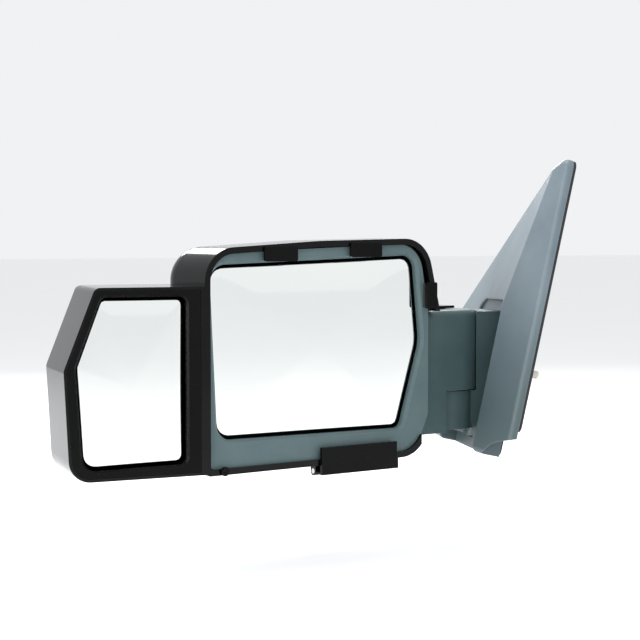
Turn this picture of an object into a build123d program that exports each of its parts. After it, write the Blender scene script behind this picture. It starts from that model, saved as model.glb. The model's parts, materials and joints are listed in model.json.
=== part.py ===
"""Left-hand truck door mirror wearing a clip-on towing extension, as it hangs on the door.

Frame, in millimetres: +X points inboard, towards the vehicle, +Y forwards and +Z up.
The origin is the centre of the three mounting studs, on the face that meets the door.
"""

import os
from math import cos, radians, sin

from build123d import *

os.makedirs("parts", exist_ok=True)

# ---- Driving dimensions -------------------------------------------------------------
REACH = 482.6  # door face to the outboard edge of the extension
EXTENSION_WIDTH = 130.0  # stock head's outboard edge to the extension's outboard edge
RIM_BEHIND = 110.0  # how far the corner shared by both rims lies behind the studs
HEAD_SWEEP = 15.0  # degrees: the head's inboard end is swept forwards by this much
SAIL_TOE = 8.0  # degrees: the sail turns to follow the door in plan
SAIL_LEAN = 12.0  # degrees: the sail leans inboard at the top

SHELL_WALL = 2.8  # towing shell
HOUSING_WALL = 2.5  # stock housing and covers
FIT_GAP = 0.6  # stock housing inside the towing shell
LIP = 3.0  # towing shell's rim stands this far behind the rim plane
GLASS_THICKNESS = 2.2
BEZEL_FRONT = 7.6  # how far the stock bezel reaches forwards

HUMP_DEPTH = 80.0
BAND_DEPTH = 92.0
EXTENSION_DEPTH = 84.0
BAND_TOP = 63.0

# Outlines are (across, up, corner radius). Across runs inboard from the shared corner.
HUMP = [(0, 30, 0), (0, 127, 32), (128, 134, 0), (257, 136, 34), (275, 62, 0), (275, 30, 0)]
BAND = [(0, -82, 6), (243, -81, 34), (275, -40, 12), (275, BAND_TOP, 6), (0, BAND_TOP, 6)]
EXTENSION = [(6, 93, 3), (-101, 93, 7), (-130, 19, 9), (-125, -82, 20), (6, -80, 3)]
HEAD_GLASS = [(11, 109, 13), (243, 116, 11), (251.5, 33, 40), (227, -49, 6), (19, -47, 13)]
EXTENSION_GLASS = [(-18.5, 81.5, 4), (-93, 81.5, 4), (-116, 21, 6), (-110, -70, 11), (-18.5, -67, 5)]
BEZEL = [(3, -78, 14), (246, -77, 30), (262, -40, 14), (262, 62, 4), (250, 131, 30), (3, 122.5, 28)]
SAIL = [(98, -88, 6), (98, 226, 9), (-152, 50, 30), (-156, -86, 42)]
# The door-side outline stops short of the chin at the rear bottom corner.
BACK = [(98, -58, 8), (98, 226, 9), (-152, 50, 30), (-156, -86, 42), (52, -87, 6), (52, -58, 4)]
# Height at the studs, slope rearwards and slope upwards of the sail's two outer planes.
SAIL_FACE = (29.4, 0.0867, -0.1079)
SAIL_REAR = (43.5, -0.3725, 0.0)

PIVOT_ACROSS, PIVOT_DEPTH = 314.0, 45.0  # fold axis, across and forwards of the rim plane
BARREL_RADIUS = 37.0
FOOT_RADIUS = 33.5
CASTING_FOOT = 30.0
FOOT_SIDE = 24.0  # half the width of the block behind the barrel
FOOT_TOP = -20.0
ARM_LOW, ARM_HIGH = -62.0, 62.0
ARM_REAR, ARM_FRONT = 8.0, 82.0
ARM_START = 256.0
TUBE_RADIUS = 11.0
RUNNING = 0.05  # radial clearance of every turning fit

PLATE_THICKNESS = 6.0
STUD_CIRCLE = 66.0
STUD_RADIUS = 3.0
STUD_LENGTH = 24.0
HARNESS_RADIUS = 8.0

PIN_RADIUS = 2.5
HEAD_GLASS_CENTRE = (131.0, 33.0)
EXTENSION_GLASS_CENTRE = (-66.0, 6.0)
GLASS_FACE = 7.0  # rear face of each glass, forwards of its rim plane
GLASS_PIVOT = 18.5  # tilt centre of each glass, forwards of its rim plane
JACK_ARM = 32.0

# ---- Work planes --------------------------------------------------------------------
corner = (EXTENSION_WIDTH - REACH, -RIM_BEHIND, 0)
swept, toe, lean = (radians(angle) for angle in (HEAD_SWEEP, SAIL_TOE, SAIL_LEAN))
# x runs inboard, y up and z rearwards, so a depth d forwards is offset(-d).
HEAD = Plane(origin=corner, x_dir=(cos(swept), sin(swept), 0), z_dir=(sin(swept), -cos(swept), 0))
OUTER = Plane(origin=corner, x_dir=(1, 0, 0), z_dir=(0, -1, 0))
# The same corner seen from above: x inboard along the head, y forwards.
PLAN = Plane(origin=corner, x_dir=HEAD.x_dir, z_dir=(0, 0, 1))
# x runs rearwards, y up and z outboard, with z = 0 on the door.
DOOR = Plane(
    origin=(0, 0, 0),
    x_dir=(-sin(toe), -cos(toe), 0),
    z_dir=(-cos(lean) * cos(toe), cos(lean) * sin(toe), sin(lean)),
)
PIVOT = PLAN.from_local_coords((PIVOT_ACROSS, PIVOT_DEPTH, 0))
FOLD = Plane(origin=PIVOT, x_dir=(1, 0, 0), z_dir=(0, 0, 1))


def save(piece, name):
    """Labels a finished piece and writes it as its own STEP file."""
    piece.label = name
    export_step(piece, f"parts/{name}.step")


def draw(outline, inset=0.0):
    """Adds a rounded outline to the sketch being made, pulled in by inset."""
    with BuildLine() as edge:
        FilletPolyline(
            *[(x, y) for x, y, _ in outline], radius=[r for _, _, r in outline], close=True
        )
    make_face(edge.edges())
    if inset:
        offset(amount=-inset)


def slab(plane, outline, back, front, inset=0.0, round_front=0.0):
    """A plate of this outline between two depths forwards of plane, its front edge rounded."""
    with BuildPart() as made:
        with BuildSketch(plane.offset(-back)):
            draw(outline, inset)
        extrude(amount=front - back, dir=-plane.z_dir)
        if round_front:
            face = made.faces().sort_by(Axis(plane.origin, -plane.z_dir))[-1]
            fillet(face.edges(), round_front)
    return made.part


def head_form(inset, back):
    """The head's body: a tall hump standing behind a deeper band, both pulled in by inset."""
    with BuildPart() as made:
        add(slab(HEAD, HUMP, back, HUMP_DEPTH - inset, inset, 27 - inset))
        add(slab(HEAD, BAND, back, BAND_DEPTH - inset, inset, 11 - inset))
    return made.part


def box(plane, low, high):
    """A block in plane's coordinates, with low and high as (x, y, depth forwards)."""
    with BuildPart() as made:
        with BuildSketch(plane.offset(-low[2])):
            with Locations(((low[0] + high[0]) / 2, (low[1] + high[1]) / 2)):
                Rectangle(high[0] - low[0], high[1] - low[1])
        extrude(amount=high[2] - low[2], dir=-plane.z_dir)
    return made.part


def rod(plane, at, radius, back, front):
    """A cylinder normal to plane between two depths forwards of it."""
    with BuildPart() as made:
        with BuildSketch(plane.offset(-back)):
            with Locations(at):
                Circle(radius)
        extrude(amount=front - back, dir=-plane.z_dir)
    return made.part


def post(radius, low, high, at=FOLD):
    """A vertical cylinder about the fold axis."""
    with BuildPart() as made:
        with BuildSketch(at.offset(low)):
            Circle(radius)
        extrude(amount=high - low)
    return made.part


def arm_form(grow=0.0):
    """The arm's outer body: a box that ends in a round barrel above the pivot foot."""
    with BuildPart() as made:
        with BuildSketch(PLAN.offset(FOOT_TOP + 0.5 - grow)):
            with Locations(((ARM_START + PIVOT_ACROSS) / 2, PIVOT_DEPTH)):
                Rectangle(PIVOT_ACROSS - ARM_START + 2 * grow, ARM_FRONT - ARM_REAR + 2 * grow)
            with Locations((PIVOT_ACROSS, PIVOT_DEPTH)):
                Circle(BARREL_RADIUS + grow)
        extrude(amount=ARM_HIGH - FOOT_TOP - 0.5 + 2 * grow)
        low_end = PIVOT_ACROSS - 22
        with BuildSketch(PLAN.offset(ARM_LOW - grow)):
            with Locations(((ARM_START + low_end) / 2, PIVOT_DEPTH)):
                Rectangle(low_end - ARM_START + 2 * grow, ARM_FRONT - ARM_REAR + 2 * grow)
        extrude(amount=FOOT_TOP - ARM_LOW + 1)
        add(post(FOOT_RADIUS + 1.5 - grow, ARM_LOW - 5, FOOT_TOP + 0.5), mode=Mode.SUBTRACT)
        if grow == 0:
            fillet(made.edges().group_by(Axis.Z)[-1], 7)
    return made.part


# ---- Base: what bolts to the door ---------------------------------------------------
def door_slab(outline, low, high, inset=0.0):
    """A plate parallel to the door between two heights outboard of it."""
    with BuildPart() as made:
        with BuildSketch(DOOR.offset(low)):
            draw(outline, inset)
        extrude(amount=high - low)
    return made.part


def door_rods(places, radius, low, high):
    """Cylinders square to the door at each place, between two heights outboard of it."""
    with BuildPart() as made:
        with BuildSketch(DOOR.offset(low)):
            with Locations(*places):
                Circle(radius)
        extrude(amount=high - low)
    return made.part


def stub_block(side, low, high):
    """A block from the door to the fold axis, this far to each side of the axis."""
    with BuildPart() as made:
        with BuildSketch(Plane.XY.offset(low)):
            with Locations((PIVOT.X / 2, PIVOT.Y)):
                Rectangle(-PIVOT.X, 2 * side)
        extrude(amount=high - low)
        split(bisect_by=DOOR, keep=Keep.TOP)
    return made.part


def face_plane(height, rear_slope, up_slope, drop):
    """A plane of the sail's face: its height at the studs and its slopes rearwards and upwards."""
    normal = DOOR.z_dir - DOOR.x_dir * rear_slope - DOOR.y_dir * up_slope
    return Plane(origin=DOOR.from_local_coords((0, 0, height - drop)), z_dir=normal)


def sail_form(outline, inset, drop, low, rounded=0.0):
    """The sail as a ridge: the face rises rearwards to a crease, then falls to the rear edge."""
    with BuildPart() as made:
        add(door_slab(outline, low, 60, inset))
        for height, rear_slope, up_slope in (SAIL_FACE, SAIL_REAR):
            split(bisect_by=face_plane(height, rear_slope, up_slope, drop), keep=Keep.BOTTOM)
        if rounded:
            top = made.faces().filter_by(lambda face: face.normal_at().dot(DOOR.z_dir) > 0.8)
            fillet(top.edges(), rounded)
    return made.part


stud_places = [
    (STUD_CIRCLE / 2 * cos(radians(turn)), STUD_CIRCLE / 2 * sin(radians(turn)))
    for turn in (90, 210, 330)
]
# Each screw's place and the height of the face above it.
cover_screws_at = {(80, 150): 13.5, (-130, 20): 15.5, (30, -74): 15.0}
HARNESS_PLACE = (66, 66)
PEG_PLACE = (84, 2)
PEG_RADIUS = 4.0

with BuildPart() as mount_bracket:
    add(door_slab(BACK, 0, PLATE_THICKNESS, 7))
    add(stub_block(18, ARM_LOW + 8, FOOT_TOP - 3))
    add(post(CASTING_FOOT, ARM_LOW + 4, FOOT_TOP))
    add(post(TUBE_RADIUS, ARM_LOW, 0), mode=Mode.SUBTRACT)
    add(door_rods([HARNESS_PLACE], HARNESS_RADIUS, -1, 20), mode=Mode.SUBTRACT)
    add(door_rods(stud_places, STUD_RADIUS + 0.5, -1, PLATE_THICKNESS + 1), mode=Mode.SUBTRACT)
    add(door_rods([PEG_PLACE], PEG_RADIUS, -1, 20), mode=Mode.SUBTRACT)
    add(door_rods(cover_screws_at, 2.0, -1, 20), mode=Mode.SUBTRACT)
    add(door_rods(cover_screws_at, 4.2, -1, 3), mode=Mode.SUBTRACT)
save(mount_bracket.part, "mount_bracket")

# Around the arm's root the face drops to a lower pocket, with a chin at its rear bottom corner.
POCKET = [(44, -130, 0), (44, 69, 5), (-58, 69, 24), (-50, -130, 0)]
POCKET_HEIGHT = 15.0
SKIN = 2.8
with BuildPart() as sail_cover:
    add(sail_form(SAIL, 0, 0, 0, 6))
    add(door_slab(POCKET, POCKET_HEIGHT, 60), mode=Mode.SUBTRACT)
    rim = [
        edge
        for edge in sail_cover.edges(Select.LAST)
        if DOOR.to_local_coords(edge.center()).Z > POCKET_HEIGHT + 0.5
        and abs(edge.tangent_at(0.5).dot(DOOR.z_dir)) < 0.5
    ]
    fillet(rim, 1.6)
    notch = Plane(origin=DOOR.from_local_coords((56, -88, -4)), z_dir=DOOR.x_dir)
    with BuildSketch(notch):
        Circle(24)
    extrude(amount=60, mode=Mode.SUBTRACT)
    with BuildPart() as cavity:
        add(sail_form(BACK, 3.5, SKIN, -1))
        add(door_slab(POCKET, POCKET_HEIGHT - SKIN, 60, -SKIN), mode=Mode.SUBTRACT)
    add(cavity.part, mode=Mode.SUBTRACT)
    for place, height in cover_screws_at.items():
        add(door_rods([place], 5, PLATE_THICKNESS, height - 1.5))
        add(door_rods([place], 2.0, PLATE_THICKNESS - 1, height - SKIN), mode=Mode.SUBTRACT)
    add(stub_block(FOOT_SIDE + 0.3, ARM_LOW + 3.7, ARM_HIGH - 1.7), mode=Mode.SUBTRACT)
    add(post(FOOT_RADIUS + 0.3, ARM_LOW - 10, FOOT_TOP - 0.7), mode=Mode.SUBTRACT)
save(sail_cover.part, "sail_cover")

# The slate cover over the casting's foot, hollowed round the barrel that turns above it.
with BuildPart() as foot_cover:
    add(stub_block(FOOT_SIDE, ARM_LOW + 4, ARM_HIGH - 2))
    add(post(FOOT_RADIUS, ARM_LOW + 2, FOOT_TOP - 1))
    add(post(BARREL_RADIUS + 1, FOOT_TOP - 1, ARM_HIGH), mode=Mode.SUBTRACT)
    add(post(CASTING_FOOT, ARM_LOW, FOOT_TOP), mode=Mode.SUBTRACT)
    add(stub_block(18, ARM_LOW + 8, FOOT_TOP - 3), mode=Mode.SUBTRACT)
    add(door_slab(BACK, -10, PLATE_THICKNESS, 0), mode=Mode.SUBTRACT)
    add(door_rods(stud_places, 6.5, 0, PLATE_THICKNESS + 3.6), mode=Mode.SUBTRACT)
save(foot_cover.part, "foot_cover")

with BuildPart() as door_gasket:
    add(door_slab(BACK, -3, 0, 0.6))
    add(door_slab(BACK, -4, 1, 7), mode=Mode.SUBTRACT)
save(door_gasket.part, "door_gasket")

with BuildPart() as mount_studs:
    add(door_rods(stud_places, STUD_RADIUS, -STUD_LENGTH, 0))
    add(door_rods(stud_places, STUD_RADIUS + 0.5, 0, PLATE_THICKNESS))
    add(door_rods(stud_places, 5.5, PLATE_THICKNESS, PLATE_THICKNESS + 3))
save(mount_studs.part, "mount_studs")

with BuildPart() as locating_peg:
    add(door_rods([PEG_PLACE], PEG_RADIUS, -13, PLATE_THICKNESS))
    add(door_rods([PEG_PLACE], 5, PLATE_THICKNESS, PLATE_THICKNESS + 1))
    tip = locating_peg.faces().sort_by(Axis(DOOR.origin, DOOR.z_dir))[0]
    chamfer(tip.edges(), 1.5)
save(locating_peg.part, "locating_peg")

with BuildPart() as cover_screws:
    add(door_rods(cover_screws_at, 4.0, 0.3, 3))
    add(door_rods(cover_screws_at, 2.0, 3, 10.4))
save(cover_screws.part, "cover_screws")

# ---- Fold pivot ---------------------------------------------------------------------
RING_STEP = 3.0  # thickness of each detent ring
TUBE_TOP = 52.0
SPRING_LOW, SPRING_HIGH = 4.0, 46.0
SPRING_WIRE = 1.8
SPRING_RADIUS = 17.5
SPRING_TURNS = 6

with BuildPart() as pivot_tube:
    add(post(TUBE_RADIUS, ARM_LOW + 1, TUBE_TOP))
    add(post(15, ARM_LOW + 1, ARM_LOW + 4))
    add(post(8.5, ARM_LOW, TUBE_TOP + 1), mode=Mode.SUBTRACT)
save(pivot_tube.part, "pivot_tube")

with BuildPart() as detent_ring_lower:
    add(post(28, FOOT_TOP, FOOT_TOP + RING_STEP))
    add(post(TUBE_RADIUS, FOOT_TOP - 1, FOOT_TOP + RING_STEP + 1), mode=Mode.SUBTRACT)
save(detent_ring_lower.part, "detent_ring_lower")

ring_base = FOOT_TOP + RING_STEP + RUNNING
with BuildPart() as detent_ring_upper:
    add(post(28, ring_base, ring_base + RING_STEP))
    add(post(TUBE_RADIUS + 0.4, ring_base - 1, ring_base + RING_STEP + 1), mode=Mode.SUBTRACT)
save(detent_ring_upper.part, "detent_ring_upper")

barrel_base = ring_base + RING_STEP
with BuildPart() as pivot_bush:
    add(post(13, barrel_base, SPRING_LOW))
    add(post(TUBE_RADIUS + RUNNING, barrel_base - 1, SPRING_LOW + 1), mode=Mode.SUBTRACT)
save(pivot_bush.part, "pivot_bush")

with BuildPart() as spring_retainer:
    add(post(22, SPRING_HIGH, SPRING_HIGH + 3))
    add(post(TUBE_RADIUS, SPRING_HIGH - 1, SPRING_HIGH + 4), mode=Mode.SUBTRACT)
save(spring_retainer.part, "spring_retainer")

coil_height = SPRING_HIGH - SPRING_LOW - 2 * SPRING_WIRE - 0.4
with BuildPart() as fold_spring:
    with BuildLine() as coil:
        Helix(
            pitch=coil_height / SPRING_TURNS,
            height=coil_height,
            radius=SPRING_RADIUS,
            center=(PIVOT.X, PIVOT.Y, SPRING_LOW + SPRING_WIRE + 0.2),
        )
    with BuildSketch(Plane(origin=coil.line @ 0, z_dir=coil.line % 0)):
        Circle(SPRING_WIRE)
    sweep(path=coil.line)
save(fold_spring.part, "fold_spring")

# ---- Arm: casting and covers --------------------------------------------------------
FRAME_REAR, FRAME_FRONT = 50.0, 58.0  # the casting's plate inside the head
centre_x, centre_z = HEAD_GLASS_CENTRE
with BuildPart() as arm_casting:
    add(post(BARREL_RADIUS - 3.5, barrel_base, TUBE_TOP - 2))
    add(box(HEAD, (226, -12, 28), (PIVOT_ACROSS, 44, 62)))
    add(post(13, barrel_base - 1, SPRING_LOW), mode=Mode.SUBTRACT)
    add(post(24, SPRING_LOW, TUBE_TOP + 5), mode=Mode.SUBTRACT)
    add(box(HEAD, (232, -4, 33), (270, 36, 49)), mode=Mode.SUBTRACT)
    add(box(HEAD, (60, -24, FRAME_REAR), (232, 84, FRAME_FRONT)))
    with BuildSketch(HEAD.offset(-FRAME_REAR)):
        with Locations((146, 30)):
            with GridLocations(76, 52, 2, 2):
                RectangleRounded(48, 28, 6)
    extrude(amount=FRAME_FRONT - FRAME_REAR, dir=-HEAD.z_dir, mode=Mode.SUBTRACT)
save(arm_casting.part, "arm_casting")

with BuildPart() as arm_shell:
    add(arm_form())
    add(arm_form(-HOUSING_WALL), mode=Mode.SUBTRACT)
    add(post(BARREL_RADIUS - HOUSING_WALL, FOOT_TOP - 1, FOOT_TOP + 6), mode=Mode.SUBTRACT)
    low_inside = (ARM_START - 1, ARM_LOW + HOUSING_WALL, ARM_REAR + HOUSING_WALL)
    high_inside = (ARM_START + 6, ARM_HIGH - HOUSING_WALL, ARM_FRONT - HOUSING_WALL)
    add(box(HEAD, low_inside, high_inside), mode=Mode.SUBTRACT)
seam = HEAD.offset(-PIVOT_DEPTH)
for cover_name, side in (("arm_cover_rear", Keep.TOP), ("arm_cover_front", Keep.BOTTOM)):
    with BuildPart() as arm_cover:
        add(arm_shell.part)
        split(bisect_by=seam, keep=side)
    save(arm_cover.part, cover_name)

# ---- Stock head ---------------------------------------------------------------------
housing_inset = SHELL_WALL + FIT_GAP
arm_hole = box(HEAD, (253, ARM_LOW - 0.6, -10), (290, ARM_HIGH + 0.6, ARM_FRONT + 0.6))
LAMP = [(24, -24, 3), (196, -26, 3), (196, 5, 3), (24, 6, 3)]

with BuildPart() as stock_housing:
    add(head_form(housing_inset, BEZEL_FRONT))
    add(head_form(housing_inset + HOUSING_WALL, -20), mode=Mode.SUBTRACT)
    add(arm_hole, mode=Mode.SUBTRACT)
    add(slab(HEAD, LAMP, 70, 95, 0.4), mode=Mode.SUBTRACT)
save(stock_housing.part, "stock_housing")

with BuildPart() as bezel:
    add(slab(HEAD, BEZEL, 0.3, BEZEL_FRONT))
    add(slab(HEAD, HEAD_GLASS, 0, BEZEL_FRONT + 1, -3.2), mode=Mode.SUBTRACT)
    rear_face = bezel.faces().sort_by(Axis(HEAD.origin, HEAD.z_dir))[-1]
    chamfer(rear_face.inner_wires()[0].edges(), 2.4)
save(bezel.part, "bezel")

# ---- Turn signal behind the shell's window ------------------------------------------
lamp_wall = BAND_DEPTH - housing_inset - HOUSING_WALL
with BuildPart() as signal_lens:
    add(slab(HEAD, LAMP, lamp_wall - 2.2, lamp_wall, -3))
    add(slab(HEAD, LAMP, lamp_wall, BAND_DEPTH - 0.8, 0.8))
save(signal_lens.part, "signal_lens")

lamp_back = lamp_wall - 2.2
with BuildPart() as signal_reflector:
    add(slab(HEAD, LAMP, lamp_back - 9, lamp_back, -1))
    add(slab(HEAD, LAMP, lamp_back - 7.5, lamp_back + 1, 1), mode=Mode.SUBTRACT)
save(signal_reflector.part, "signal_reflector")

with BuildPart() as signal_board:
    add(slab(HEAD, LAMP, lamp_back - 7.5, lamp_back - 6, 3))
    with BuildSketch(HEAD.offset(6 - lamp_back)):
        with Locations((110, -10)):
            with GridLocations(26, 1, 6, 1):
                Rectangle(5, 5)
    extrude(amount=1.6, dir=-HEAD.z_dir)
save(signal_board.part, "signal_board")


# ---- Tilting glasses: both hang on a cross with two crossed pins ---------------------
EAR_IN, EAR_OUT = 8.5, 13.5
HOLDER_FRONT = 12.2
CASE_REAR, CASE_FRONT = 27.0, 48.0


def glass_plate(plane, outline, name, low, high, inset):
    """One flat layer of a glass pack."""
    save(slab(plane, outline, low, high, inset), name)


def pin_along(plane, centre, direction, radius, half_length):
    """A cylinder through the tilt centre along one of plane's own directions."""
    origin = plane.from_local_coords((*centre, -GLASS_PIVOT))
    with BuildPart() as made:
        with BuildSketch(Plane(origin=origin, z_dir=direction).offset(-half_length)):
            Circle(radius)
        extrude(amount=2 * half_length)
    return made.part


def cross(plane, centre, name):
    """The block that carries the pan pins and the tilt pins."""
    x, y = centre
    with BuildPart() as made:
        add(box(plane, (x - 6, y - 6, GLASS_PIVOT - 3.5), (x + 6, y + 6, GLASS_PIVOT + 3.5)))
        add(pin_along(plane, centre, plane.x_dir, PIN_RADIUS, EAR_OUT))
        add(pin_along(plane, centre, plane.y_dir, PIN_RADIUS, EAR_OUT))
    save(made.part, name)


def ears(plane, centre, upright, low, high):
    """Two lugs bored for one pair of pins: above and below, or left and right."""
    x, y = centre
    with BuildPart() as made:
        for near, far in ((-EAR_OUT, -EAR_IN), (EAR_IN, EAR_OUT)):
            if upright:
                add(box(plane, (x - 5.5, y + near, low), (x + 5.5, y + far, high)))
            else:
                add(box(plane, (x + near, y - 5.5, low), (x + far, y + 5.5, high)))
        axis = plane.y_dir if upright else plane.x_dir
        add(pin_along(plane, centre, axis, PIN_RADIUS + RUNNING, EAR_OUT + 5), mode=Mode.SUBTRACT)
    return made.part


def holder(plane, outline, centre, name, back, jacks):
    """The plastic plate behind a glass, with ears for the tilt pins and cups for the jacks."""
    with BuildPart() as made:
        add(slab(plane, outline, back, HOLDER_FRONT, 1.5))
        add(ears(plane, centre, False, HOLDER_FRONT, 23))
        for place in jacks:
            add(rod(plane, place, 7, HOLDER_FRONT, 21))
            add(rod(plane, place, 4.8, HOLDER_FRONT, 22), mode=Mode.SUBTRACT)
    save(made.part, name)


pan_jack_place = (centre_x + JACK_ARM, centre_z)
tilt_jack_place = (centre_x, centre_z - JACK_ARM)
jack_places = [pan_jack_place, tilt_jack_place]
glass_back = GLASS_FACE + GLASS_THICKNESS
glass_plate(HEAD, HEAD_GLASS, "main_glass", GLASS_FACE, glass_back, 0)
glass_plate(HEAD, HEAD_GLASS, "heater_pad", glass_back, glass_back + 0.5, 4)
holder(HEAD, HEAD_GLASS, HEAD_GLASS_CENTRE, "glass_holder", glass_back + 0.5, jack_places)
cross(HEAD, HEAD_GLASS_CENTRE, "glass_cross")

glass_plate(OUTER, EXTENSION_GLASS, "extension_glass", GLASS_FACE, glass_back, 0)
holder(OUTER, EXTENSION_GLASS, EXTENSION_GLASS_CENTRE, "extension_holder", glass_back, [])
cross(OUTER, EXTENSION_GLASS_CENTRE, "extension_cross")

# ---- Glass actuator -----------------------------------------------------------------
case_low = (centre_x - 46, centre_z - 44, CASE_REAR)
case_high = (centre_x + 46, centre_z + 30, CASE_FRONT)
with BuildPart() as actuator_case:
    add(box(HEAD, case_low, case_high))
    fillet(actuator_case.edges().filter_by(Axis(HEAD.origin, HEAD.z_dir)), 8)
    inner_low = (case_low[0] + 2, case_low[1] + 2, CASE_REAR + 2)
    inner_high = (case_high[0] - 2, case_high[1] - 2, CASE_FRONT + 1)
    add(box(HEAD, inner_low, inner_high), mode=Mode.SUBTRACT)
    for jack_place in jack_places:
        add(rod(HEAD, jack_place, 6, CASE_REAR, CASE_FRONT))
        add(rod(HEAD, jack_place, PIN_RADIUS + RUNNING, CASE_REAR - 1, CASE_FRONT + 1), mode=Mode.SUBTRACT)
    add(ears(HEAD, HEAD_GLASS_CENTRE, True, 14.4, CASE_REAR))
save(actuator_case.part, "actuator_case")

with BuildPart() as actuator_lid:
    add(box(HEAD, (case_low[0], case_low[1], CASE_FRONT), (case_high[0], case_high[1], FRAME_REAR)))
    fillet(actuator_lid.edges().filter_by(Axis(HEAD.origin, HEAD.z_dir)), 8)
save(actuator_lid.part, "actuator_lid")


def motor(at, name):
    """A small can motor lying across the actuator case."""
    low_end = HEAD.from_local_coords((at[0], at[1], -(CASE_REAR + 11.5)))
    with BuildPart() as made:
        with BuildSketch(Plane(origin=low_end, z_dir=HEAD.x_dir)):
            Circle(8)
        extrude(amount=26)
        with BuildSketch(Plane(origin=low_end, z_dir=HEAD.x_dir).offset(26)):
            Circle(1.5)
        extrude(amount=8)
    save(made.part, name)


motor((centre_x - 42, centre_z + 16), "pan_motor")
motor((centre_x - 42, centre_z - 14), "tilt_motor")

for place, jack_name in ((pan_jack_place, "pan_jack"), (tilt_jack_place, "tilt_jack")):
    with BuildPart() as jack:
        with Locations(HEAD.from_local_coords((*place, -GLASS_PIVOT))):
            Sphere(4)
        add(rod(HEAD, place, PIN_RADIUS, GLASS_PIVOT, 43.5))
    save(jack.part, jack_name)

# ---- Towing shell -------------------------------------------------------------------
ARM_WRAP = [(255, -10, 0), (320, -10, 4), (332, 65.5, 4), (255, 65.5, 0)]
WRAP_REAR, WRAP_FRONT = ARM_FRONT + 1, 90.0
outer_head = head_form(0, -LIP)

with BuildPart() as extension_space:
    add(slab(OUTER, EXTENSION, -LIP - 1, EXTENSION_DEPTH - SHELL_WALL, SHELL_WALL, 5))
    add(outer_head, mode=Mode.SUBTRACT)
    add(box(OUTER, (-3, -100, -10), (20, 110, 100)), mode=Mode.SUBTRACT)

# The pin that the bottom clamp swings on, as (up, depth) on the head's own plane.
CLAMP_AXIS = (-87.5, 6.0)
CLAMP_LEFT, CLAMP_RIGHT = 132.0, 220.0
clamp_origin = HEAD.from_local_coords((0, CLAMP_AXIS[0], -CLAMP_AXIS[1]))
CLAMP = Plane(origin=clamp_origin, x_dir=HEAD.y_dir, z_dir=HEAD.x_dir)


def clamp_rod(radius, left, right):
    """A cylinder about the clamp's pin."""
    with BuildPart() as made:
        with BuildSketch(CLAMP.offset(left)):
            Circle(radius)
        extrude(amount=right - left)
    return made.part


SCREW_AT = (20, -78.2)
lug_spans = [(CLAMP_LEFT - 6, CLAMP_LEFT), (CLAMP_RIGHT, CLAMP_RIGHT + 6)]
with BuildPart() as towing_shell:
    add(outer_head)
    add(slab(OUTER, EXTENSION, -LIP, EXTENSION_DEPTH, 0, 7))
    add(slab(HEAD, ARM_WRAP, WRAP_REAR, WRAP_FRONT, 0, 2.5))
    add(box(HEAD, (262, ARM_HIGH + 1, 40), (328, ARM_HIGH + 3.5, WRAP_REAR + 1)))
    add(head_form(SHELL_WALL, 0), mode=Mode.SUBTRACT)
    add(slab(HEAD, HUMP, -LIP - 1, 1, 6), mode=Mode.SUBTRACT)
    add(slab(HEAD, BAND, -LIP - 1, 1, 6), mode=Mode.SUBTRACT)
    add(extension_space.part, mode=Mode.SUBTRACT)
    add(slab(HEAD, LAMP, 70, 100), mode=Mode.SUBTRACT)
    add(box(HEAD, (252, -70, -10), (290, ARM_HIGH + 1, WRAP_REAR)), mode=Mode.SUBTRACT)
    add(rod(HEAD, SCREW_AT, 1.8, -LIP - 1, 0), mode=Mode.SUBTRACT)
    for left, right in lug_spans:
        add(clamp_rod(4.2, left, right))
        add(box(HEAD, (left, CLAMP_AXIS[0], 1.8), (right, -80.5, 10.2)))
        add(clamp_rod(PIN_RADIUS, left - 1, right + 1), mode=Mode.SUBTRACT)
save(towing_shell.part, "towing_shell")

with BuildPart() as foam_pads:
    for across in (206, 236):
        add(box(HEAD, (across, -40, BAND_DEPTH - 3.35), (across + 20, 44, BAND_DEPTH - 2.85)))
save(foam_pads.part, "foam_pads")

# ---- Extension ----------------------------------------------------------------------
FRAME_DEPTH = 5.4
with BuildPart() as extension_frame:
    add(slab(OUTER, EXTENSION, -LIP + 0.4, FRAME_DEPTH, SHELL_WALL + 0.3))
    add(box(OUTER, (-3.3, -100, -10), (20, 110, 10)), mode=Mode.SUBTRACT)
    add(slab(OUTER, EXTENSION_GLASS, -LIP - 1, FRAME_DEPTH + 1, -2.6), mode=Mode.SUBTRACT)
    outer_face = extension_frame.faces().sort_by(Axis(OUTER.origin, OUTER.z_dir))[-1]
    chamfer(outer_face.inner_wires()[0].edges(), 1.6)
save(extension_frame.part, "extension_frame")

ext_x, ext_z = EXTENSION_GLASS_CENTRE
with BuildPart() as extension_bracket:
    add(ears(OUTER, EXTENSION_GLASS_CENTRE, True, 14.4, CASE_REAR))
    add(box(OUTER, (ext_x - 18, ext_z - 18, CASE_REAR), (ext_x + 18, ext_z + 18, CASE_REAR + 4)))
    add(rod(OUTER, EXTENSION_GLASS_CENTRE, 14, CASE_REAR + 4, EXTENSION_DEPTH - SHELL_WALL))
    add(rod(OUTER, EXTENSION_GLASS_CENTRE, 11, CASE_REAR + 6, EXTENSION_DEPTH), mode=Mode.SUBTRACT)
save(extension_bracket.part, "extension_bracket")

# ---- Clips that hook the shell over the stock bezel ----------------------------------
CLIP_THICKNESS = 2.6
CLIPS = {
    "top_clip_outer": ((64, 115, 101, 129), (66, 115.5, 99, 123)),
    "top_clip_inner": ((163, 118, 200, 132), (165, 118.5, 198, 126)),
    "side_clip": ((255.5, 66, 269, 92), (255.8, 67, 261.5, 91)),
}
for clip_name, (plate, _) in CLIPS.items():
    left, low, right, high = plate
    with BuildPart() as clip:
        add(box(HEAD, (left, low, -LIP - CLIP_THICKNESS), (right, high, -LIP)))
        fillet(clip.edges().filter_by(Axis(HEAD.origin, HEAD.z_dir)), 2)
    save(clip.part, clip_name)

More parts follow.
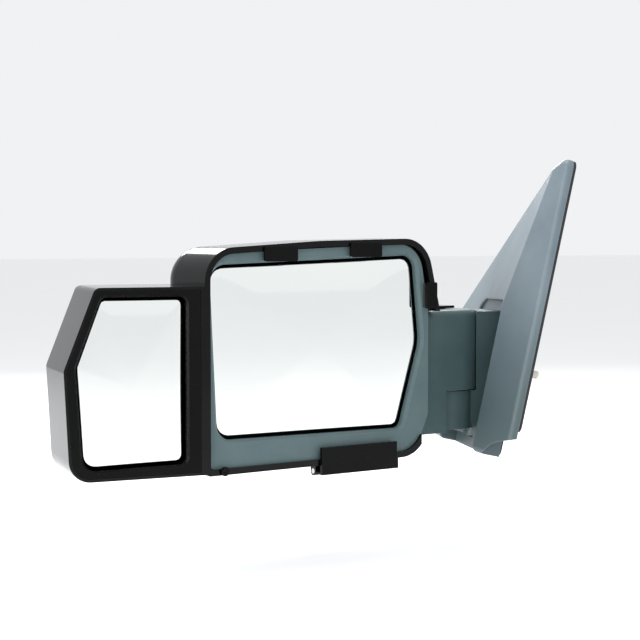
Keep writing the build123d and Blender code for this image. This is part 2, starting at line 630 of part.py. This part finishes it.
with BuildPart() as clip_pads:
    for _, (left, low, right, high) in CLIPS.values():
        add(box(HEAD, (left, low, -LIP), (right, high, 0.3)))
save(clip_pads.part, "clip_pads")

# ---- Bottom clamp -------------------------------------------------------------------
CLAMP_REAR = -LIP - 3.6
with BuildPart() as bottom_clamp:
    add(clamp_rod(4.2, CLAMP_LEFT + 0.4, CLAMP_RIGHT - 0.4))
    add(box(HEAD, (CLAMP_LEFT + 0.4, -90.5, CLAMP_REAR), (CLAMP_RIGHT - 0.4, -84.5, 4)))
    add(box(HEAD, (CLAMP_LEFT - 4, -90.5, CLAMP_REAR), (CLAMP_RIGHT - 2, -64, -LIP - 0.2)))
    add(clamp_rod(PIN_RADIUS + RUNNING, CLAMP_LEFT - 5, CLAMP_RIGHT + 5), mode=Mode.SUBTRACT)
save(bottom_clamp.part, "bottom_clamp")

with BuildPart() as clamp_pad:
    add(box(HEAD, (CLAMP_LEFT, -73, -LIP - 0.2), (CLAMP_RIGHT - 6, -66, 0.1)))
save(clamp_pad.part, "clamp_pad")

with BuildPart() as clamp_pin:
    add(clamp_rod(PIN_RADIUS, CLAMP_LEFT - 6, CLAMP_RIGHT + 6))
save(clamp_pin.part, "clamp_pin")

with BuildPart() as retaining_screw:
    add(rod(HEAD, SCREW_AT, 4.5, -LIP - 3, -LIP))
    add(rod(HEAD, SCREW_AT, 1.8, -LIP, -0.2))
save(retaining_screw.part, "retaining_screw")
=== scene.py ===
"""Looks of the truck door mirror with its towing extension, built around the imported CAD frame.

Frame, in metres: +X points inboard, towards the vehicle, +Y forwards and +Z up.
"""

import json
from math import atan2, cos, pi, radians, sin

import bmesh
import bpy
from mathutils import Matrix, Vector


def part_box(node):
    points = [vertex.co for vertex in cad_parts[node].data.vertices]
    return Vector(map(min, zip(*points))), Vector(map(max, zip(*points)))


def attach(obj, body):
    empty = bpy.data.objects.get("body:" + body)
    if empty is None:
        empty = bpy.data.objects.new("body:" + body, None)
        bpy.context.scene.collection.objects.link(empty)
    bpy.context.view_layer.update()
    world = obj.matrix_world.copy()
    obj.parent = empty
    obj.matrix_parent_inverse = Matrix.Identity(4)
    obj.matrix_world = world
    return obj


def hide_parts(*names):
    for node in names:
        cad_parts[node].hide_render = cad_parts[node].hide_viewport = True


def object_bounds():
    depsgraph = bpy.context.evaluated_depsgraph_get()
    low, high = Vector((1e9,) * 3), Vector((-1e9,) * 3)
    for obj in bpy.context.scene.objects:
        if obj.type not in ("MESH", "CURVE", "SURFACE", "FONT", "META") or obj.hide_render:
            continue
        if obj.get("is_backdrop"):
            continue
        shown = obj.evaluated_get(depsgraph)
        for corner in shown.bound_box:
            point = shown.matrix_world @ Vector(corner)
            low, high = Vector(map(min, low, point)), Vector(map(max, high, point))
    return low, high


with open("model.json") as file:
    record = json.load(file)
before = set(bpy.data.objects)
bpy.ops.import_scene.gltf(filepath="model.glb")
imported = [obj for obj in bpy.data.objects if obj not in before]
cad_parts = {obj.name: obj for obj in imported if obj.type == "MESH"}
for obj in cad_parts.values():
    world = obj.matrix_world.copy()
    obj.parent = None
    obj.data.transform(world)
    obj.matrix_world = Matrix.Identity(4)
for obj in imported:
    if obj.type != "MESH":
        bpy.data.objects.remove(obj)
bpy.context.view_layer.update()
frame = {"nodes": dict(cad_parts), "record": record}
nodes = frame["nodes"]
scene = bpy.context.scene


# ---- Node materials -----------------------------------------------------------------
class Look:
    """A small helper that wires one Principled material."""

    def __init__(self, name):
        self.material = bpy.data.materials.new(name)
        self.material.use_nodes = True
        self.tree = self.material.node_tree
        self.shader = self.tree.nodes["Principled BSDF"]
        self.place = self.add("ShaderNodeTexCoord").outputs["Object"]
        self.normal = None

    def add(self, kind, **values):
        node = self.tree.nodes.new(kind)
        for key, value in values.items():
            setattr(node, key, value)
        return node

    def link(self, source, target):
        self.tree.links.new(source, target)

    def set(self, **values):
        for key, value in values.items():
            self.shader.inputs[key.replace("_", " ")].default_value = value
        return self

    def noise(self, scale, detail=4.0, roughness=0.5, stretch=None):
        node = self.add("ShaderNodeTexNoise")
        node.inputs["Scale"].default_value = scale
        node.inputs["Detail"].default_value = detail
        node.inputs["Roughness"].default_value = roughness
        source = self.place
        if stretch:
            mapping = self.add("ShaderNodeMapping")
            mapping.inputs["Scale"].default_value = stretch
            self.link(source, mapping.inputs["Vector"])
            source = mapping.outputs["Vector"]
        self.link(source, node.inputs["Vector"])
        return node.outputs["Fac"]

    def cells(self, scale):
        node = self.add("ShaderNodeTexVoronoi", feature="F1")
        node.inputs["Scale"].default_value = scale
        self.link(self.place, node.inputs["Vector"])
        return node.outputs["Distance"]

    def ramp(self, source, stops):
        node = self.add("ShaderNodeValToRGB")
        line = node.color_ramp
        while len(line.elements) < len(stops):
            line.elements.new(0.5)
        for element, (position, colour) in zip(line.elements, stops):
            element.position = position
            element.color = (*colour, 1.0) if len(colour) == 3 else colour
        self.link(source, node.inputs["Fac"])
        return node.outputs["Color"]

    def span(self, source, low, high):
        """source, from 0 to 1, spread from low to high."""
        node = self.add("ShaderNodeMapRange")
        node.inputs["To Min"].default_value = low
        node.inputs["To Max"].default_value = high
        self.link(source, node.inputs["Value"])
        return node.outputs["Result"]

    def bump(self, height, strength, distance):
        node = self.add("ShaderNodeBump")
        node.inputs["Strength"].default_value = strength
        node.inputs["Distance"].default_value = distance
        self.link(height, node.inputs["Height"])
        if self.normal:
            self.link(self.normal, node.inputs["Normal"])
        self.normal = node.outputs["Normal"]
        self.link(self.normal, self.shader.inputs["Normal"])
        return self

    def edges(self, radius=0.0012):
        """1 along edges and 0 on faces, for wear."""
        bevel = self.add("ShaderNodeBevel", samples=4)
        bevel.inputs["Radius"].default_value = radius
        geometry = self.add("ShaderNodeNewGeometry")
        dot = self.add("ShaderNodeVectorMath", operation="DOT_PRODUCT")
        self.link(bevel.outputs["Normal"], dot.inputs[0])
        self.link(geometry.outputs["Normal"], dot.inputs[1])
        node = self.add("ShaderNodeMapRange")
        node.inputs["From Min"].default_value = 1.0
        node.inputs["From Max"].default_value = 0.8
        self.link(dot.outputs["Value"], node.inputs["Value"])
        return node.outputs["Result"]

    def mix(self, factor, first, second):
        node = self.add("ShaderNodeMix", data_type="RGBA")
        self.link(factor, node.inputs["Factor"])
        for socket, value in ((node.inputs["A"], first), (node.inputs["B"], second)):
            if isinstance(value, tuple):
                socket.default_value = (*value, 1.0)
            else:
                self.link(value, socket)
        return node.outputs["Result"]

    def colour(self, source):
        self.link(source, self.shader.inputs["Base Color"])
        return self

    def rough(self, source):
        self.link(source, self.shader.inputs["Roughness"])
        return self


def gloss_black():
    look = Look("gloss_black_abs")
    look.set(Coat_Weight=0.05, Coat_Roughness=0.04, IOR=1.5, Specular_IOR_Level=0.16)
    dust = look.noise(35, 6, 0.6)
    look.colour(look.ramp(dust, [(0.35, (0.0015, 0.0015, 0.0018)), (0.8, (0.004, 0.004, 0.0045))]))
    look.rough(look.span(dust, 0.08, 0.17))
    look.bump(look.noise(420, 2), 0.05, 0.0003)
    return look.material


GRAIN = 1400.0


def moulded(name, dark, light, rough, depth=0.00012, shine=0.5, painted_shade=None):
    """Grained, moulded plastic that is a little paler where its edges are rubbed, optionally with
    painted shade darker towards the bottom.
    """
    look = Look(name)
    look.set(IOR=1.47, Specular_IOR_Level=shine)
    cloud = look.noise(18, 5, 0.55)
    base = look.ramp(cloud, [(0.3, dark), (0.7, light)])
    if painted_shade:
        # Painted shade: darker towards the bottom, from the shaded colour up to the plain one between
        # two heights.
        lower, low_z, high_z = painted_shade
        split = look.add("ShaderNodeSeparateXYZ")
        look.link(look.place, split.inputs["Vector"])
        shade_rise = look.add("ShaderNodeMapRange", interpolation_type="SMOOTHSTEP")
        shade_rise.inputs["From Min"].default_value = low_z
        shade_rise.inputs["From Max"].default_value = high_z
        look.link(split.outputs["Z"], shade_rise.inputs["Value"])
        base = look.mix(shade_rise.outputs["Result"], lower, base)
    rubbed = tuple(min(1.0, 1.35 * c + 0.01) for c in light)
    look.colour(look.mix(look.span(look.edges(), 0.0, 0.55), base, rubbed))
    look.rough(look.span(look.noise(60, 5), rough[0], rough[1]))
    look.bump(look.cells(GRAIN), 0.35, depth)
    look.bump(look.noise(GRAIN * 0.35, 3), 0.2, depth)
    return look.material


def metal(name, colour, rough, scale=(1, 1, 1), cast=False):
    look = Look(name)
    look.set(Metallic=1.0)
    streak = look.noise(220 if not cast else 90, 6, 0.6, scale)
    low = tuple(c * 0.82 for c in colour)
    look.colour(look.ramp(streak, [(0.3, low), (0.7, colour)]))
    look.rough(look.span(streak, rough[0], rough[1]))
    look.bump(look.noise(700 if cast else 300, 4, 0.6, scale), 0.3 if cast else 0.1, 0.0002)
    return look.material


def silvered(name, tint):
    look = Look(name)
    look.set(Metallic=1.0, Coat_Weight=1.0, Coat_Roughness=0.01)
    smear = look.noise(9, 6, 0.6, (1, 1, 2.4))
    look.colour(look.ramp(smear, [(0.3, tuple(c * 0.985 for c in tint)), (0.75, tint)]))
    look.rough(look.span(smear, 0.015, 0.05))
    return look.material


def rubber():
    look = Look("sponge_rubber")
    look.set(IOR=1.45)
    pores = look.cells(900)
    look.colour(look.ramp(pores, [(0.0, (0.008, 0.008, 0.008)), (0.5, (0.03, 0.03, 0.031))]))
    look.rough(look.span(look.noise(200), 0.7, 0.95))
    look.bump(pores, 0.6, 0.0004)
    return look.material


def smoked_lens():
    look = Look("smoked_lens")
    look.set(IOR=1.49, Coat_Weight=0.6, Coat_Roughness=0.03)
    flutes_and_painted_reflections = look.add("ShaderNodeTexWave", wave_type="BANDS", bands_direction="X")
    flutes_and_painted_reflections.inputs["Scale"].default_value = 120
    look.link(look.place, flutes_and_painted_reflections.inputs["Vector"])
    # Painted reflection: the flutes are also painted as light and dark bands in the lens colour,
    # standing in for reflection lines; the bump gives the flutes' real relief.
    painted_reflection_shades = [(0.2, (0.045, 0.06, 0.067)), (0.8, (0.085, 0.108, 0.118))]
    look.colour(look.ramp(flutes_and_painted_reflections.outputs["Fac"], painted_reflection_shades))
    look.rough(look.span(look.noise(80), 0.12, 0.22))
    look.bump(flutes_and_painted_reflections.outputs["Fac"], 0.25, 0.0004)
    return look.material


def board():
    look = Look("lamp_board")
    tracks = look.add("ShaderNodeTexBrick")
    tracks.inputs["Scale"].default_value = 160
    look.link(look.place, tracks.inputs["Vector"])
    tracks.inputs["Color1"].default_value = (0.02, 0.12, 0.05, 1)
    tracks.inputs["Color2"].default_value = (0.03, 0.16, 0.07, 1)
    tracks.inputs["Mortar"].default_value = (0.1, 0.3, 0.12, 1)
    look.colour(tracks.outputs["Color"])
    look.set(Roughness=0.35)
    return look.material


looks = {
    "gloss_black": gloss_black(),
    "satin_black": moulded(
        "satin_black_abs",
        (0.001, 0.001, 0.0012),
        (0.003, 0.003, 0.0033),
        (0.22, 0.32),
        depth=0.00003,
        shine=0.12,
    ),
    "sail_grey": moulded(
        "sail_grey_plastic",
        (0.12, 0.158, 0.182),
        (0.158, 0.198, 0.225),
        (0.32, 0.44),
        # painted shade: the sail cover is painted darker towards its bottom, where it lies in shade
        painted_shade=((0.075, 0.108, 0.116), -0.05, 0.09),
    ),
    "arm_grey": moulded(
        "arm_grey_plastic", (0.048, 0.08, 0.085), (0.066, 0.104, 0.109), (0.38, 0.52), shine=0.3
    ),
    "bezel_grey": moulded(
        "bezel_grey_plastic", (0.08, 0.124, 0.13), (0.104, 0.152, 0.158), (0.34, 0.46), shine=0.3
    ),
    "housing_black": moulded(
        "housing_black_plastic", (0.012, 0.012, 0.013), (0.022, 0.022, 0.023), (0.45, 0.6)
    ),
    "mirror_glass": silvered("silvered_glass", (0.975, 0.995, 0.97)),
    "lens_grey": smoked_lens(),
    "reflector_chrome": metal("reflector_chrome", (0.85, 0.85, 0.86), (0.08, 0.16)),
    "board_green": board(),
    "die_cast": metal("die_cast_alloy", (0.52, 0.53, 0.54), (0.38, 0.55), cast=True),
    "steel": metal("plated_steel", (0.62, 0.6, 0.54), (0.22, 0.36)),
    "natural_nylon": moulded("natural_nylon", (0.55, 0.53, 0.46), (0.66, 0.64, 0.57), (0.35, 0.5)),
    "actuator_black": moulded(
        "actuator_black_plastic", (0.014, 0.014, 0.015), (0.025, 0.025, 0.026), (0.4, 0.55)
    ),
    "rubber_black": rubber(),
    "heater_film": metal("heater_foil", (0.45, 0.28, 0.12), (0.3, 0.45), (1, 1, 6)),
}
slot_of = {row["node"]: row["material_slot"] for row in frame["record"]["subparts"]}
for name, node in nodes.items():
    for index in range(max(1, len(node.material_slots))):
        if not node.material_slots:
            node.data.materials.append(looks[slot_of[name]])
        node.material_slots[index].material = looks[slot_of[name]]


# ---- Directions of the stock head and of the door ------------------------------------
HEAD_SWEEP, SAIL_TOE, SAIL_LEAN = radians(15), radians(8), radians(12)
HEAD_REAR = Vector((sin(HEAD_SWEEP), -cos(HEAD_SWEEP), 0))
UP = Vector((0, 0, 1))
DOOR_REARWARDS = Vector((-sin(SAIL_TOE), -cos(SAIL_TOE), 0))
DOOR_OUT = Vector((-cos(SAIL_LEAN) * cos(SAIL_TOE), cos(SAIL_LEAN) * sin(SAIL_TOE), sin(SAIL_LEAN)))
DOOR_UP = DOOR_OUT.cross(DOOR_REARWARDS)


def mesh_piece(name, verts, faces, slot, body):
    """A new mesh object from its points and faces, with its slot's look and a body to ride on."""
    mesh = bpy.data.meshes.new(name)
    mesh.from_pydata([tuple(v) for v in verts], [], faces)
    mesh.validate()
    tidy = bmesh.new()
    tidy.from_mesh(mesh)
    bmesh.ops.recalc_face_normals(tidy, faces=tidy.faces)
    tidy.to_mesh(mesh)
    tidy.free()
    for polygon in mesh.polygons:
        polygon.use_smooth = True
    piece = bpy.data.objects.new(name, mesh)
    scene.collection.objects.link(piece)
    mesh.materials.append(looks[slot])
    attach(piece, body)
    return piece


def ring_stack(rings):
    """Points and faces that join equal rings one after another, with both ends capped."""
    count = len(rings[0])
    verts = [point for ring in rings for point in ring]
    faces = []
    for level in range(len(rings) - 1):
        for i in range(count):
            j = (i + 1) % count
            this, following = level * count, (level + 1) * count
            faces.append((this + i, this + j, following + j, following + i))
    for level in (0, len(rings) - 1):
        hub = len(verts)
        verts.append(sum(rings[level], Vector()) / count)
        for i in range(count):
            faces.append((level * count + i, level * count + (i + 1) % count, hub))
    return verts, faces


def glass_outline(node, rear):
    """The ordered outline of a flat plate's rear face, seen along its normal."""
    points = [v.co.copy() for v in nodes[node].data.vertices]
    height = max(p.dot(rear) for p in points)
    face = [p for p in points if p.dot(rear) > height - 1e-5]
    unique = []
    for p in face:
        if all((p - q).length > 1e-5 for q in unique):
            unique.append(p)
    middle = sum(unique, Vector()) / len(unique)
    across = UP.cross(rear)
    return sorted(unique, key=lambda p: atan2((p - middle).dot(UP), (p - middle).dot(across))), middle


def even_outline(outline, count):
    """The same closed outline, with equally spaced points."""
    ends = outline + [outline[0]]
    spans = [(b - a).length for a, b in zip(ends, ends[1:])]
    step = sum(spans) / count
    points, at, walked = [], 0, 0.0
    for i in range(count):
        while walked + spans[at] < i * step:
            walked += spans[at]
            at += 1
        points.append(ends[at].lerp(ends[at + 1], (i * step - walked) / spans[at]))
    return points


GLASS_DEPTH = 0.0022
GLASS_CROWN = 0.0009
SEAM_DEPTH = 0.0016
EDGE_POINTS = 160
GROUND_EDGE = ((0.0004, 1.15), (0.0011, 1.02), (0.0018, 1.0))
DOME_RINGS = (0.06, 0.15, 0.3, 0.45, 0.6, 0.75, 0.88, 0.96)


def crowned_glass(name, node, body, rear):
    """A mirror glass with a ground edge and a slightly convex silvered face."""
    outline, middle = glass_outline(node, rear)
    edge = even_outline(outline, EDGE_POINTS)
    rings = [[p - GLASS_DEPTH * rear for p in edge], [p - SEAM_DEPTH * rear for p in edge]]
    for shrink, drop in GROUND_EDGE:
        rings.append([p + (middle - p).normalized() * shrink - drop * GLASS_CROWN * rear for p in edge])
    for share in DOME_RINGS:
        sink = (1 - share) ** 2 * GLASS_CROWN
        rings.append([p.lerp(middle, share) - sink * rear for p in edge])
    piece = mesh_piece(name, *ring_stack(rings), "mirror_glass", body)
    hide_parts(node)


crowned_glass("main_mirror_glass", "main_glass", "glass", HEAD_REAR)
crowned_glass("extension_mirror_glass", "extension_glass", "extension_mirror", Vector((0, -1, 0)))


def turned(origin, axis, start, profile, segments=48, wave=None):
    """A turned shape: (radius, height) pairs about axis, with wave(angle, height) added to radii."""
    side = axis.cross(start).normalized()
    rings = []
    for radius, height in profile:
        ring = []
        for i in range(segments):
            angle = 2 * pi * i / segments
            r = radius + (wave(angle, height) if wave else 0)
            ring.append(origin + axis * height + (start * cos(angle) + side * sin(angle)) * r)
        rings.append(ring)
    return ring_stack(rings)


# ---- Door studs: rolled thread, plain shank and round head -----------------------------
STUD_RADIUS, STUD_CIRCLE_RADIUS, STUD_LENGTH = 0.003, 0.033, 0.024
SHANK_RADIUS, HEAD_RADIUS, PLATE_DEPTH, STUD_TOP = 0.0035, 0.0055, 0.006, 0.009
THREAD_PITCH, THREAD_DEPTH, THREAD_START, PLAIN_SHANK = 0.001, 0.00045, 0.0006, 0.002
THREAD_RINGS, RING_GAP = 100, 0.00022
stud_verts, stud_faces = [], []


def thread(angle, height):
    """The thread's groove below the crest, which stops short of both ends."""
    if height > -PLAIN_SHANK or height < -STUD_LENGTH + THREAD_START:
        return 0.0
    turn = (height / THREAD_PITCH - angle / (2 * pi)) % 1.0
    return -THREAD_DEPTH * abs(2 * turn - 1)


stud_profile = [(STUD_RADIUS - 0.0008, -STUD_LENGTH), (STUD_RADIUS - 0.0004, -STUD_LENGTH + 0.0004)]
stud_profile += [(STUD_RADIUS, -STUD_LENGTH + THREAD_START + RING_GAP * i) for i in range(THREAD_RINGS)]
stud_profile += [(STUD_RADIUS, 0.0), (SHANK_RADIUS, 0.0), (SHANK_RADIUS, PLATE_DEPTH)]
stud_profile += [(HEAD_RADIUS, PLATE_DEPTH), (HEAD_RADIUS, STUD_TOP - 0.0007)]
stud_profile += [(HEAD_RADIUS - 0.0007, STUD_TOP)]
for degrees in (90, 210, 330):
    bearing = radians(degrees)
    foot = STUD_CIRCLE_RADIUS * (DOOR_REARWARDS * cos(bearing) + DOOR_UP * sin(bearing))
    verts, faces = turned(foot, DOOR_OUT, DOOR_REARWARDS, stud_profile, 32, thread)
    stud_faces += [tuple(i + len(stud_verts) for i in face) for face in faces]
    stud_verts += verts
studs = mesh_piece("threaded_studs", stud_verts, stud_faces, "steel", "base")
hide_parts("mount_studs")

# ---- Plug in the sail cover's recess, ahead of the pivot -----------------------------
PLUG_ALONG, PLUG_UP, PLUG_SEAT = -0.034, -0.066, 0.015
PLUG_RADIUS, PLUG_FLANGE, PLUG_HEIGHT, PLUG_DOME = 0.0085, 0.0012, 0.0085, 0.0045
plug_seat = DOOR_REARWARDS * PLUG_ALONG + DOOR_UP * PLUG_UP + DOOR_OUT * PLUG_SEAT
plug_profile = [(PLUG_RADIUS + PLUG_FLANGE, -0.0008), (PLUG_RADIUS + PLUG_FLANGE, 0.0008)]
plug_profile += [(PLUG_RADIUS + 0.0006, 0.0014), (PLUG_RADIUS, 0.0018), (PLUG_RADIUS, PLUG_HEIGHT)]
plug_profile += [
    (PLUG_RADIUS * cos(radians(turn)), PLUG_HEIGHT + PLUG_DOME * sin(radians(turn)))
    for turn in range(10, 90, 10)
]
plug_mesh = turned(plug_seat, DOOR_OUT, DOOR_REARWARDS, plug_profile, 64)
mesh_piece("recess_plug", *plug_mesh, "sail_grey", "base")

# ---- Thumb screw at the shell's outer bottom corner ------------------------------------
GRIP_FLUTES, FLUTE_DEPTH = 18, 0.00025
screw_low, screw_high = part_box("retaining_screw")
screw_rear = max(v.co.dot(HEAD_REAR) for v in nodes["retaining_screw"].data.vertices)
screw_middle = (screw_low + screw_high) / 2
screw_top = screw_middle + HEAD_REAR * (screw_rear - screw_middle.dot(HEAD_REAR))


def knurl(angle, height):
    """Grip flutes round the head only."""
    return -FLUTE_DEPTH * (1 - cos(GRIP_FLUTES * angle)) if -0.0028 < height < -0.0003 else 0.0


screw_profile = [(0.0018, -0.0058), (0.0018, -0.003), (0.0042, -0.003), (0.0045, -0.0027)]
screw_profile += [(0.0045, -0.0006), (0.0041, -0.0001), (0.003, 0.0), (0.0026, -0.0001)]
screw_profile += [(0.0023, -0.0009), (0.0004, -0.0009)]
screw_mesh = turned(screw_top, HEAD_REAR, UP, screw_profile, 72, knurl)
screw = mesh_piece("thumb_screw", *screw_mesh, "satin_black", "head")
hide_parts("retaining_screw")

# ---- Studio -------------------------------------------------------------------------
low, high = (Vector(corner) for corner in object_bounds())
FLOOR_DROP = 0.09


def stage_material(name, colour):
    look = Look(name)
    look.colour(look.ramp(look.noise(3, 3), [(0.2, tuple(c * 0.985 for c in colour)), (0.8, colour)]))
    look.set(Roughness=0.9)
    return look.material


bpy.ops.mesh.primitive_plane_add(size=30, location=(0, 0, low.z - FLOOR_DROP))
floor = bpy.context.object
floor.name = "floor"
floor.data.materials.append(stage_material("pale_floor", (0.93, 0.935, 0.94)))
floor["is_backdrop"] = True

world = bpy.data.worlds.new("studio")
scene.world = world
world.use_nodes = True
background = world.node_tree.nodes["Background"]
background.inputs["Color"].default_value = (0.97, 0.985, 1.0, 1)
background.inputs["Strength"].default_value = 0.9


def softbox(name, place, aim, width, height, power):
    """A soft rectangular light at place, turned towards aim."""
    data = bpy.data.lights.new(name, "AREA")
    data.shape = "RECTANGLE"
    data.size, data.size_y = width, height
    data.energy = power
    light = bpy.data.objects.new(name, data)
    light.location = place
    light.rotation_euler = (Vector(aim) - Vector(place)).to_track_quat("-Z", "Y").to_euler()
    scene.collection.objects.link(light)


centre = (low + high) / 2
softbox("overhead", centre + Vector((-0.1, 0.2, 1.4)), centre, 1.5, 0.5, 12)
softbox("left_card", centre + Vector((-1.6, -0.2, 0.35)), centre, 0.9, 1.3, 14)
softbox("front_key", centre + Vector((0.3, 1.6, 0.9)), centre, 1.2, 0.5, 22)
softbox("rear_fill", centre + Vector((0.35, -1.2, 1.4)), centre, 1.2, 0.6, 5)
softbox("outboard_fill", centre + Vector((-1.1, -1.0, 0.05)), centre + Vector((0.2, 0, 0)), 0.8, 0.7, 5)

# ---- Camera: from behind and a little outboard, as the glass side is pictured --------
CAMERA_AZIMUTH, CAMERA_ELEVATION, CAMERA_DISTANCE = radians(-16), radians(5), 1.6
AIM = Vector((-0.25, -0.14, 0.062))
EYE_FROM = Vector((-0.3526, -0.11, 0.01))
eye = EYE_FROM + CAMERA_DISTANCE * Vector(
    (
        sin(CAMERA_AZIMUTH) * cos(CAMERA_ELEVATION),
        -cos(CAMERA_AZIMUTH) * cos(CAMERA_ELEVATION),
        sin(CAMERA_ELEVATION),
    )
)
camera_data = bpy.data.cameras.new("camera")
camera_data.lens = 98
camera = bpy.data.objects.new("camera", camera_data)
camera.location = eye
camera.rotation_euler = (AIM - eye).to_track_quat("-Z", "Y").to_euler()
scene.collection.objects.link(camera)
scene.camera = camera
scene.view_settings.view_transform = "Standard"
